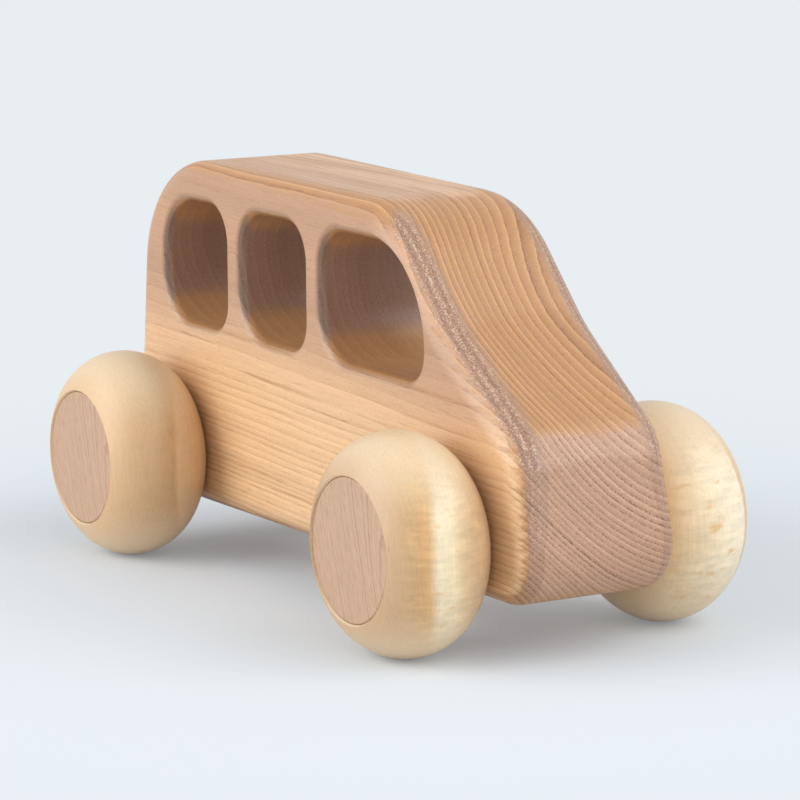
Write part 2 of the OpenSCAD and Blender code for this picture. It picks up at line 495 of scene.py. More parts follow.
@dataclass(frozen=True)
class OiledElm:
    """Elm, sawn from a plank, belt-sanded and oiled.

    Each year's growth starts with a thin pale line and darkens to its end, in some years more than in others.
    Faces cut along the rings are pale and plain, faces cut through them show golden-brown lines, and wood cut
    across the grain shows purplish arcs of dark pores. Oil sinks deeper into such end grain and into the torn
    fibres of an edge routed across the grain, so the edge looks grey and speckled. A thin skin of oil gives
    all of it a sheen. Some colour is painted light: faces turned up are painted paler as a sheen, the end
    grain in the windows is darker partly from oil and partly as painted shade, and the windows' insides, their
    rounded edges and the rounded corners at the ends get painted shade.

    Sizes are in millimetres. Fibres, pores and specks are drawn about twice as coarse as they are, because a
    pixel of the photograph's view is 0.2 mm wide.
    """

    pith: tuple[float, float] = (30.0, 70.3)
    lean: float = -0.04
    ring_area: float = 370.0
    luck: float = 0.6
    luck_rate: float = 0.45
    wander: float = 1.4
    wander_mm: Size = (120.0, 40.0, 40.0)
    ragged: float = 0.12
    ragged_mm: Size = (10.0, 1.8, 1.8)
    fibre_mm: Size = (14.0, 0.32, 0.32)
    pore_mm: Size = (5.0, 0.42, 0.42)
    speck_mm: Size = (0.36, 0.36, 0.36)
    streak_mm: Size = (75.0, 6.0, 1.7)
    tear_mm: Size = (3.0, 1.0, 1.0)
    tear_blur: float = 0.3
    tear_share: float = 0.75
    ridge: float = 0.09
    ridge_rate: float = 38.0
    slope_loss: float = 0.6
    sill_pale: float = 0.75
    # Darkens end grain inside the windows: partly oil soaked in, partly painted shade in the hollow.
    soak_and_shade: float = 0.73
    # Painted shade over all of the windows' insides.
    window_shade: float = 0.92
    # Painted shade on the windows' rounded edges, deeper where they are end grain, so that they do not look
    # lit.
    window_edge_shade: float = 0.86
    end_grain_edge_shade: float = 0.48
    # Painted shade on the rounded corners at the ends, where the routed edge meets the end grain.
    corner_shade_depth: float = 0.82
    relief: float = 0.3
    roughness: float = 0.42
    torn_roughness: float = 0.2
    sheen: float = 0.3
    sheen_roughness: float = 0.3
    brown: Stops = (
        (0.0, "#d9ab7a"), (0.12, "#cc9a68"), (0.35, "#bd8856"), (0.65, "#b17b4a"), (0.86, "#9f693b"),
        (0.96, "#8c572d"), (1.0, "#925e33"))
    gold: Stops = ((0.0, "#e9c193"), (0.5, "#e1b485"), (0.8, "#d5a576"), (0.95, "#b9875a"), (1.0, "#c29263"))
    beige: Stops = (
        (0.0, "#c19472"), (0.5, "#b88a68"), (0.85, "#aa7c5a"), (0.96, "#946647"), (1.0, "#9b6f4e"))
    purple: Stops = (
        (0.0, "#d5ad91"), (0.12, "#c99f83"), (0.4, "#b98d71"), (0.65, "#a67a5f"), (0.85, "#805941"),
        (0.95, "#64412d"), (1.0, "#735039"))
    tufts: Stops = ((0.3, "#7d5f50"), (0.46, "#94756a"), (0.6, "#ad8d7b"), (0.74, "#d6bda8"))
    worn: str = "#a58674"

    def material(self) -> Material:
        """Builds the material.

        Returns:
            The material, for a mesh with the attributes routed, inside and flared.
        """
        material, graph, shader = new_material("elm_sanded_oiled")
        cut = self._cut(graph)
        fibre = cut.noise(cut.place, self.fibre_mm, 3.0)
        pore = cut.noise(cut.place, self.pore_mm, 2.0)
        speck = cut.noise(cut.place, self.speck_mm, 1.0)
        out = self._out(cut)
        flat = self._flat_sawn(cut, out)
        pale = self._pale(cut)
        end_grain = self._end_grain(cut)
        plain = self._plain(cut, flat, pale)
        phase, tone = self._rings(cut, out, pore, plain, end_grain)
        torn, corner_shade = self._torn_edge(cut)
        colour = self._colour(cut, phase, flat, pale, end_grain)
        colour = self._tear(cut, colour, torn, speck)

        grit = cut.product(cut.remap(speck, (0.3, 0.72), (-0.09, 0.12)), cut.remap(end_grain, to=(0.6, 1.3)))
        grit = cut.calc("ADD", grit, 1.0)
        shade = cut.product(
            cut.remap(fibre, NOISE_BAND, (0.93, 1.06)), cut.remap(pore, (0.58, 0.72), (1.0, 0.86)), grit)
        # How deep the painted shade on a window's rounded edge goes, deeper on end grain.
        window_edge_shade = cut.remap(end_grain, to=(self.window_edge_shade, self.end_grain_edge_shade))
        light = cut.product(
            shade,
            tone,
            # Darker end grain in the windows, partly oil soaked in and partly painted shade.
            cut.remap(cut.product(cut.inside, end_grain), to=(1.0, self.soak_and_shade)),
            # Painted shade inside the windows.
            cut.remap(cut.inside, to=(1.0, self.window_shade)),
            # Painted shade on the windows' rounded edges.
            cut.remap(cut.flared, (0.0, 0.6), (1.0, window_edge_shade), smooth=True),
            # Painted shade on the rounded corners at the ends.
            cut.remap(corner_shade, to=(1.0, self.corner_shade_depth)),
        )
        cut.link(cut.shade(colour, light), shader, "Base Color")
        gloss = cut.remap(shade, (0.8, 1.1), (self.roughness + 0.1, self.roughness - 0.04))
        cut.link(cut.calc("MULTIPLY_ADD", torn, self.torn_roughness, gloss), shader, "Roughness")
        shader.inputs["Coat Weight"].default_value = self.sheen
        shader.inputs["Coat Roughness"].default_value = self.sheen_roughness
        cut.bump(shade, shader, self.relief)
        return material

    def _cut(self, graph: Graph) -> Cut:
        """Reads how the surface was cut.

        Args:
            graph: Nodes of the material.

        Returns:
            The material's nodes, with the sockets that tell it.
        """
        place, normal = wood_space(graph, self.pith, self.lean)
        faces = graph.parts(graph.vector("ABSOLUTE", normal))
        marks = (
            add_node(graph.tree, "ShaderNodeAttribute", attribute_name=name).outputs["Fac"]
            for name in ("routed", "inside", "flared")
        )
        return Cut(graph.tree, place, faces["X"], faces["Y"], graph.parts(normal)["Z"], *marks)

    def _out(self, cut: Cut) -> Socket:
        """Measures the way out from the pith, which wanders a little along the log.

        Args:
            cut: How the surface was cut.

        Returns:
            The vector from the pith, in millimetres and square to the grain.
        """
        slow = cut.noise(cut.place, self.wander_mm, 2.0, "Color")
        swing = cut.vector(
            "MULTIPLY_ADD", slow, (0.0, 2 * self.wander, 2 * self.wander), (0.0, -self.wander, -self.wander))
        return cut.vector("MULTIPLY_ADD", cut.place, ACROSS, swing)

    def _rings(
        self, cut: Cut, out: Socket, pore: Socket, plain: Socket, end_grain: Socket
    ) -> tuple[Socket, Socket]:
        """Counts the growth rings out from the pith.

        Each year adds about the same area of wood, so the count grows with the square of the distance. Good
        and bad years follow each other, so the rings are uneven. In a weak year the growth keeps to its
        middle tone.

        Args:
            cut: How the surface was cut.
            out: Way from the pith, in millimetres.
            pore: Noise of the pores, which break the lines into dashes.
            plain: How much of their contrast the lines keep, from 0 to 1.
            end_grain: How much of end grain the surface shows, from 0 to 1. The dashes are clearest there.

        Returns:
            How far through its year the wood grew, from 0 to 1, and a factor for the year's own tone.
        """
        years = cut.calc("MULTIPLY", cut.vector("DOT_PRODUCT", out, out), math.pi / self.ring_area)
        uneven = cut.calc("MULTIPLY_ADD", cut.line_noise(years, self.luck_rate, 1.0), self.luck, years)
        jitter = cut.noise(cut.place, self.ragged_mm, 2.0)
        rings = cut.calc("MULTIPLY_ADD", jitter, 2 * self.ragged, uneven)
        year = cut.calc("FLOOR", rings)
        chance = add_node(cut.tree, "ShaderNodeTexWhiteNoise", {"W": year}, noise_dimensions="1D").outputs
        tone = cut.remap(chance["Value"], to=(0.93, 1.06))
        strong = cut.remap(cut.parts(chance["Color"])["Y"], to=(0.6, 1.15))
        dashes = cut.remap(pore, (0.38, 0.6), (cut.remap(end_grain, to=(0.65, 0.2)), 1.0))
        off = cut.calc("SUBTRACT", cut.calc("FRACT", rings), MIDDLE_TONE)
        return cut.calc("MULTIPLY_ADD", off, cut.product(strong, dashes, plain), MIDDLE_TONE), tone

    def _plain(self, cut: Cut, flat: Socket, pale: Socket) -> Socket:
        """Lets the lines lose contrast where a pale cut follows the rings, and in the windows."""
        spread = cut.remap(cut.product(flat, pale), (0.72, 0.97), (1.0, 0.3))
        return cut.product(spread, cut.remap(cut.inside, to=(1.0, 0.22)))

    def _end_grain(self, cut: Cut) -> Socket:
        """Finds the faces cut across the grain.

        Args:
            cut: How the surface was cut.

        Returns:
            How much of end grain the surface shows, from 0 to 1.
        """
        below = cut.product(cut.rise, cut.remap(cut.inside, to=(-0.15, -self.slope_loss)))
        loss = cut.calc("MAXIMUM", cut.calc("MULTIPLY", cut.rise, self.slope_loss), below)
        reach = cut.calc("MULTIPLY_ADD", cut.flared, 0.3, cut.calc("SUBTRACT", cut.along, loss))
        away = cut.calc("MULTIPLY_ADD", cut.flared, -0.2, cut.sideways)
        away = cut.remap(away, (0.62, 0.8), (1.0, 0.0), smooth=True)
        return cut.product(cut.remap(reach, (0.3, 0.75), smooth=True), away)

    def _flat_sawn(self, cut: Cut, out: Socket) -> Socket:
        """Finds how squarely an upright cut faces the pith, and so follows the rings, from 0 to 1."""
        way = cut.parts(cut.vector("NORMALIZE", out))["Y"]
        return cut.calc("ABSOLUTE", way)

    def _pale(self, cut: Cut) -> Socket:
        """Finds the surfaces that stay pale under the oil, the sides and, less so, sills and heads, and the
        faces turned up, such as the roof, whose pallor is a painted sheen.

        Long streaks along the grain take more oil and turn browner.

        Args:
            cut: How the surface was cut.

        Returns:
            How pale the surface is, from 0 to 1.
        """
        # Faces turned up, the roof most, get a painted sheen: they are made paler, as if reflecting the pale
        # backdrop at a grazing angle.
        roof = cut.remap(cut.rise, (0.86, 0.99), (0.0, 0.79))
        level = {"Factor": cut.inside, 2: roof, 3: self.sill_pale}
        roof = add_node(cut.tree, "ShaderNodeMix", level).outputs[0]
        streak = cut.remap(cut.noise(cut.place, self.streak_mm, 3.0), (0.48, 0.74), (0.0, 0.3))
        streak = cut.product(streak, cut.calc("SUBTRACT", 1.0, cut.inside))
        return cut.calc("SUBTRACT", cut.calc("MAXIMUM", cut.sideways, roof), streak)

    def _colour(self, cut: Cut, phase: Socket, flat: Socket, pale: Socket, end_grain: Socket) -> Socket:
        """Colours the rings gold, beige where the cut follows them, brown on edges and purple on end grain.

        Args:
            cut: How the surface was cut.
            phase: How far through its year the wood grew, from 0 to 1.
            flat: How squarely an upright cut faces the pith here, from 0 to 1.
            pale: How pale the surface stays, from 0 to 1, with a painted sheen on faces turned up. Rounded
                edges are brown.
            end_grain: How much of end grain the surface shows, from 0 to 1.

        Returns:
            The colour before fibres and pores.
        """
        colour = cut.ramp(phase, self.gold)
        for factor, span, stops in (
            (flat, (0.84, 0.98), self.beige),
            (pale, (0.93, 0.62), self.brown),
            (end_grain, (0.0, 1.0), self.purple),
        ):
            colour = cut.blend(cut.remap(factor, span, smooth=True), colour, cut.ramp(phase, stops))
        return colour

    def _torn_edge(self, cut: Cut) -> tuple[Socket, Socket]:
        """Finds the edges that were routed across the grain.

        Args:
            cut: How the surface was cut.

        Returns:
            How torn the surface is, where the cut slopes across the grain, and how much painted shade the
            rounded corner gets, where the cut is square to the grain, both from 0 to 1.
        """
        edge = cut.calc("MULTIPLY_ADD", cut.noise(cut.place, self.tear_mm, 2.0), self.tear_blur, cut.routed)
        band = cut.remap(edge, (0.62, 0.76), (1.0, 0.0), smooth=True)
        hit = cut.product(band, cut.remap(cut.along, (0.2, 0.4), smooth=True))
        slope = cut.remap(cut.rise, (0.1, 0.32), smooth=True)
        torn = cut.product(cut.remap(edge, (0.1, 0.36), smooth=True), slope)
        # Painted shade on the rounded corners: the routed edge just off the outline's faces, where it does not
        # face up.
        corner_shade = cut.product(cut.remap(cut.routed, (0.0, 0.07)), cut.calc("SUBTRACT", 1.0, slope))
        return cut.product(hit, torn), cut.product(hit, corner_shade)

    def _tear(self, cut: Cut, colour: Socket, torn: Socket, speck: Socket) -> Socket:
        """Turns torn wood grey, with pale fibre ends towards the side and a smoother strip beside them.

        Args:
            cut: How the surface was cut.
            colour: Colour of sound wood.
            torn: How torn the surface is, from 0 to 1.
            speck: Noise of the fibre ends.

        Returns:
            The colour of the wood, torn or not.
        """
        ridge = cut.calc("SINE", cut.calc("MULTIPLY", cut.routed, self.ridge_rate))
        ends = cut.ramp(cut.calc("MULTIPLY_ADD", ridge, self.ridge, speck), self.tufts)
        grey = cut.blend(cut.remap(cut.routed, (0.1, 0.26)), linear(self.worn), ends)
        return cut.blend(cut.calc("MULTIPLY", torn, self.tear_share), colour, grey)


# The cream at the start of each year is partly a real pale band and partly a painted highlight, a strip of
# light on the front wheel's tread.
BANDED_YEAR_AND_HIGHLIGHT = (
    (0.0, "#ecd8b4"), (0.14, "#e9d3ad"), (0.22, "#dabb8f"), (0.34, "#caa67e"), (0.55, "#c49f7a"),
    (0.75, "#c8a174"), (0.85, "#d1a36d"), (0.91, "#d5aa74"), (1.0, "#ecd8b4"))
CREAM_YEAR = (
    (0.0, "#f1e0c4"), (0.3, "#eedbbc"), (0.6, "#e4cba4"), (0.8, "#dbbd92"), (0.95, "#d6b486"),
    (1.0, "#f1e0c4"))
TAN_YEAR = ((0.0, "#d8b389"), (0.4, "#d2ab81"), (0.75, "#cca479"), (0.95, "#c69d72"), (1.0, "#d8b389"))


@dataclass(frozen=True)
class TurnedBirch:
    """Birch, turned on a lathe across its grain, sanded and oiled.

    Pale, fine wood. Each year's band goes from cream through tan and pink to orange, and ends in an edge
    against the next that is clear where the lathe cut square to it and soft above and below. On the banded
    wheel the cream is partly a painted highlight. A ripple crosses the grain where the face is cut towards the
    pith, and fine lines left by the lathe run round it.

    Sizes are in millimetres. Fibres and lathe lines are drawn coarser than they are, so that a pixel shows
    them.
    """

    name: str
    stops: Stops = BANDED_YEAR_AND_HIGHLIGHT
    pith: tuple[float, float] = (0.0, 45.0)
    lean: float = 0.03
    ring_mm: float = 20.0
    shift: float = 0.675
    swing: float = 0.1
    swing_mm: Size = (22.0, 9.0, 9.0)
    fibre_mm: Size = (14.0, 0.45, 0.45)
    fleck_mm: Size = (2.6, 0.5, 0.5)
    lathe_mm: float = 0.5
    ripple: float = 0.1
    ripple_mm: Size = (1.3, 9.0, 5.0)
    flame_mm: Size = (2.0, 7.0, 4.0)
    flames: float = 8.0
    flame_colour: str = "#dbb078"
    end_colour: str = "#e2c8a4"
    relief: float = 0.25
    roughness: float = 0.4

    def material(self) -> Material:
        """Builds the material.

        Returns:
            The material, for a piece whose own Z axis is the lathe's and whose grain runs along its X axis.
        """
        material, graph, shader = new_material(self.name)
        place, normal = wood_space(graph, self.pith, self.lean)
        reach = graph.vector("LENGTH", graph.vector("MULTIPLY", place, ACROSS))
        years = graph.calc("MULTIPLY_ADD", reach, 1 / self.ring_mm, self.shift - self.swing / 2)
        years = graph.calc("MULTIPLY_ADD", graph.noise(place, self.swing_mm, 2.0), self.swing, years)
        colour = graph.ramp(graph.calc("FRACT", years), self.stops)
        colour = self._ends(graph, normal, colour)
        colour = self._ripples(graph, place, normal, colour)
        shade = graph.product(
            graph.remap(graph.noise(place, self.fibre_mm, 3.0), NOISE_BAND, (0.94, 1.045)),
            graph.remap(graph.noise(place, self.fleck_mm, 1.0), (0.77, 0.84), (1.0, 0.72)),
            self._lathe_lines(graph),
        )
        graph.link(graph.shade(colour, shade), shader, "Base Color")
        shader.inputs["Roughness"].default_value = self.roughness
        graph.bump(shade, shader, self.relief)
        return material

    def _ends(self, graph: Graph, normal: Socket, colour: Socket) -> Socket:
        """Lets the bands fade where the tread is cut across the grain, at its top and foot."""
        fade = graph.remap(
            graph.calc("ABSOLUTE", graph.parts(normal)["X"]), (0.3, 0.85), (0.0, 0.85), smooth=True)
        return graph.blend(fade, colour, linear(self.end_colour))

    def _lathe_lines(self, graph: Graph) -> Socket:
        """Draws the fine lines that the lathe leaves.

        Args:
            graph: Nodes of the material.

        Returns:
            A factor for the colour.
        """
        own = add_node(graph.tree, "ShaderNodeTexCoord").outputs["Object"]
        radius = graph.vector("LENGTH", graph.vector("MULTIPLY", own, (1.0, 1.0, 0.0)))
        across = graph.calc("SUBTRACT", radius, graph.parts(own)["Z"])
        lines = graph.line_noise(across, 1 / (self.lathe_mm * MM), 2.0)
        return graph.remap(lines, NOISE_BAND, (0.98, 1.015))

    def _ripples(self, graph: Graph, place: Socket, normal: Socket, colour: Socket) -> Socket:
        """Crosses the grain with ripples, most of them faint and a few of them orange.

        Args:
            graph: Nodes of the material.
            place: Place in the log, in millimetres.
            normal: The piece's own normal.
            colour: Colour of the rings.

        Returns:
            The rippled colour.
        """
        cut = graph.calc("ABSOLUTE", graph.parts(normal)["Y"])
        cut = graph.remap(cut, (0.45, 0.85), smooth=True)
        wave = graph.noise(place, self.ripple_mm, 2.0)
        wave = graph.remap(wave, (0.35, 0.65), (-self.ripple, self.ripple / 2))
        colour = graph.shade(colour, graph.calc("MULTIPLY_ADD", wave, cut, 1.0))
        flame = graph.noise(place, self.flame_mm, 1.0)
        flame = graph.remap(flame, (0.62, 0.76), (0.0, self.flames * self.ripple))
        return graph.blend(graph.product(flame, cut), colour, linear(self.flame_colour))


@dataclass(frozen=True)
class SlicedBirch:
    """Birch, cut flat from a plank close to its pith, sanded and oiled.

    The fine year lines stand close together along the grain and meet in an arch where they leave the face.
    Sizes are in millimetres. The fibres are drawn coarser than they are, so that a pixel shows them.
    """

    name: str
    pale: str
    deep: str
    pith: tuple[float, float] = (-14.0, 20.0)
    lean: float = 0.12
    swing: float = 0.6
    swing_mm: Size = (16.0, 5.0, 5.0)
    line_mm: float = 0.4
    fibre_mm: Size = (8.0, 0.3, 0.3)
    fibre: float = 0.8
    relief: float = 0.15
    roughness: float = 0.42

    def material(self) -> Material:
        """Builds the material.

        Returns:
            The material, for a piece whose grain runs along its X axis.
        """
        material, graph, shader = new_material(self.name)
        place, _ = wood_space(graph, self.pith, self.lean)
        reach = graph.vector("LENGTH", graph.vector("MULTIPLY", place, ACROSS))
        reach = graph.calc("MULTIPLY_ADD", graph.noise(place, self.swing_mm, 1.0), self.swing, reach)
        lines = graph.line_noise(reach, 1 / self.line_mm, 3.0)
        fibre = graph.noise(place, self.fibre_mm, 2.0)
        tone = graph.remap(graph.calc("MULTIPLY_ADD", fibre, self.fibre, lines), (0.6, 1.2))
        colour = graph.ramp(tone, ((0.0, self.deep), (0.6, self.pale), (1.0, self.pale)))
        graph.link(colour, shader, "Base Color")
        shader.inputs["Roughness"].default_value = self.roughness
        graph.bump(tone, shader, self.relief)
        return material


@dataclass(frozen=True)
class Flat:
    """A flat that the sander left: how far it leans up and to the left, in degrees, and how deep it cuts."""

    rise: float
    slant: float
    cut: float


@dataclass
class BusBody:
    """The one-piece body: an outline sawn from a plank, rounded over along both sides, with three windows."""

    elm: Material
    half_width: float = 18.0
    window_edge_r: float = 2.2
    axle_hole_r: float = 5.25
    spacing: float = 1.0
    edge_steps: int = 12
    over: float = 0.3
    near: float = 0.1
    tie: float = 0.01
    flare_start: float = 0.08
    corners: tuple[Corner, ...] = (
        Corner(-80.1, 11.5, 9, 4.5),
        Corner(87.1, 11.5, 11, 4.5),
        Corner(82.5, 44.0, 14.5, 7),
        Corner(55.0, 63.5, 39, 7),
        Corner(33.1, 85.8, 29.5, 7),
        Corner(-72.5, 87.0, 26, 4.5),
    )
    sill_z: float = 51.2
    head_z: float = 78.1
    window_w: float = 27.3
    pillar_w: float = 7.0
    first_window_x: float = -62.6
    front_window_end: float = 46.2
    screen_post: float = 4.6
    sill_r: tuple[float, float] = (11.0, 6.5)
    head_r: float = 8.0
    first_head_r: float = 12.0
    screen_r: float = 19.0
    hole_points: int = 64
    crease: float = 32.0
    flats: tuple[Flat, ...] = (Flat(28.0, 1.2, 0.2), Flat(28.0, -1.6, 0.24), Flat(10.6, -0.35, 0.28))
    outline: Outline = field(init=False)
    shift: float = field(init=False)

    def __post_init__(self) -> None:
        """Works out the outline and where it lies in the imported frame."""
        self.outline = Outline.rounded(self.corners, self.spacing)
        self.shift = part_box("body")[1].x / MM - self.outline.points[:, 0].max()

    def windows(self) -> list[list[Corner]]:
        """Lays out the windows' throats. The front one follows the windscreen.

        Returns:
            The corners of the three windows, from the rear one to the front one.
        """
        cowl, roof = (np.array([c.x, c.z]) for c in self.corners[3:5])
        along = (roof - cowl) / np.linalg.norm(roof - cowl)
        square = np.array([along[1], -along[0]])
        edge = square @ cowl - self.screen_post
        foot_z = (edge - square[0] * self.front_window_end) / square[1]
        head_x = (edge - square[1] * self.head_z) / square[0]
        starts = [self.first_window_x + i * (self.window_w + self.pillar_w) for i in range(3)]
        ends = [starts[0] + self.window_w, starts[1] + self.window_w, self.front_window_end]
        upright = [[Corner(end, self.head_z, self.head_r)] for end in ends[:2]]
        slanted = [Corner(ends[2], foot_z, self.screen_r), Corner(head_x, self.head_z, self.screen_r)]
        rear_r = (self.first_head_r, self.head_r, self.head_r)
        rear_sill_r, front_sill_r = self.sill_r
        return [
            [Corner(x, self.sill_z, rear_sill_r), Corner(end, self.sill_z, front_sill_r), *front,
             Corner(x, self.head_z, radius)]
            for x, end, front, radius in zip(starts, ends, (*upright, slanted), rear_r)
        ]

    def block_rings(self) -> list[np.ndarray]:
        """Lays the outline across the width, drawn in along both rounded edges.

        Returns:
            Rings along +Y, as rows of x, y, z.
        """
        turns = np.radians(np.linspace(90, 0, self.edge_steps + 1))
        right = [self.edge_ring(turn, Side.RIGHT) for turn in turns]
        left = [self.edge_ring(turn, Side.LEFT) for turn in turns[::-1]]
        count = round(2 * self.half_width / self.spacing)
        middle = [right[-1] + (left[0] - right[-1]) * k / count for k in range(1, count)]
        return [self.sanded(ring) for ring in (*right, *middle, *left)]

    def edge_ring(self, turn: float, side: Side) -> np.ndarray:
        """Draws the outline on its rounded edge.

        Args:
            turn: How far round the edge, in radians on from the faces that run across the width.
            side: Side of the body.

        Returns:
            The ring, as rows of x, y, z.
        """
        edges = self.outline.edges
        flat = self.outline.points - (edges * (1 - math.cos(turn)))[:, None] * self.outline.normals
        width = self.half_width - edges * (1 - math.sin(turn))
        return np.column_stack([flat[:, 0], side.value * width, flat[:, 1]])

    def sanded(self, points: np.ndarray) -> np.ndarray:
        """Presses points back to the flats that the sander left on the nose.

        Args:
            points: Points as rows of x, y, z.

        Returns:
            The points, moved where they stood proud of a flat.
        """
        for flat in self.flats:
            rise, slant = math.radians(flat.rise), math.radians(flat.slant)
            way = np.array([math.cos(rise), math.sin(rise)])
            normal = np.array([way[0] * math.cos(slant), math.sin(slant), way[1] * math.cos(slant)])
            limit = (self.outline.points @ way).max() * math.cos(slant) - flat.cut
            points = points - np.maximum(points @ normal - limit, 0)[:, None] * normal
        return points

    def window_rings(self, corners: Sequence[Corner]) -> list[np.ndarray]:
        """Lays a window's outline across the width, flared towards both sides.

        Args:
            corners: Corners of the window's throat.

        Returns:
            Rings along +Y, from past the right side to past the left one.
        """
        outline = Outline.rounded(corners, self.spacing)
        turns = np.radians(np.linspace(90, 0, self.edge_steps + 1))[1:]
        grows = list(self.window_edge_r * (1 - np.cos(turns)))
        widths = list(self.half_width - self.window_edge_r * (1 - np.sin(turns)))
        past = self.half_width + self.over
        grows.insert(0, grows[0] + (past - widths[0]) * math.tan(turns[0]))
        widths.insert(0, past)
        stations = [(-y, g) for y, g in zip(widths, grows)] + list(zip(widths, grows))[::-1]
        return [outline.ring(y, grow) for y, grow in stations]

    def build(self) -> Piece:
        """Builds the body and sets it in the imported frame.

        Returns:
            The finished piece.
        """
        body = new_piece("bus_body_elm", *loft(self.block_rings()))
        cutters = [
            new_piece(f"window_{i}", *loft(self.window_rings(window)))
            for i, window in enumerate(self.windows())
        ]
        past = self.half_width + self.over
        for end in End:
            low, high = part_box(f"{end.value}_axle")
            middle = (low + high) / (2 * MM)
            hole = Outline.circle(middle.x - self.shift, middle.z, self.axle_hole_r, self.hole_points)
            rings = [hole.ring(y, 0.0) for y in (-past, past)]
            cutters.append(new_piece(f"{end.value}_hole", *loft(rings)))
        carve(body, cutters)
        self.mark_cuts(body.data)
        body.data.transform(Matrix.Translation((self.shift * MM, 0, 0)))
        body.data.materials.append(self.elm)
        finish_normals(body, self.crease)
        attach(body, "bus_body")
        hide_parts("body")
        return body

    def mark_cuts(self, mesh: bpy.types.Mesh) -> None:
        """Notes at each point how the router and the saw met it.

        Args:
            mesh: Mesh of the body, with its outline where corners puts it. It gets an attribute routed, which
                runs from 0 where an edge leaves the outline's faces to 1 where it meets a flat side, an
                attribute inside, which runs from 0 on a flat side to 1 past the rounded edge of a window, and
                an attribute flared, which is 0 on a flat side, rises at once on that edge and falls to 0 down
                it.
        """
        points = np.empty(3 * len(mesh.vertices), np.float32)
        mesh.vertices.foreach_get("co", points)
        points = points.reshape(-1, 3) / MM
        flat, width = points[:, [0, 2]], np.abs(points[:, 1])
        inset, edge_r = self.outline.nearest(flat)
        edge_gap = self._round_gap(inset, width, edge_r)
        window_gap = np.min([
            self._round_gap(-Outline.rounded(w, self.spacing).nearest(flat)[0], width, self.window_edge_r)
            for w in self.windows()
        ], axis=0)
        cut = (window_gap < self.near) & (window_gap < edge_gap + self.tie)
        sideways = np.maximum(width - (self.half_width - edge_r), 0)
        routed = np.arctan2(sideways, np.maximum(edge_r - inset, 0)) / (math.pi / 2)
        inside = np.clip((self.half_width - width) / self.window_edge_r, 0, 1)
        flared = np.minimum(inside / self.flare_start, 1) * (1 - inside)
        marks = {"routed": (1, routed), "inside": (inside, 0), "flared": (flared, 0)}
        for name, (in_window, elsewhere) in marks.items():
            values = np.where(cut, in_window, elsewhere)
            mesh.attributes.new(name, "FLOAT", "POINT").data.foreach_set("value", values.astype(np.float32))

    def _round_gap(self, inset: np.ndarray, width: np.ndarray, radius: np.ndarray | float) -> np.ndarray:
        """Measures how far points, inset from an outline, lie from its edge of some radius at the sides."""
        sideways = np.maximum(width - (self.half_width - radius), 0)
        return np.abs(np.hypot(np.maximum(radius - inset, 0), sideways) - radius)


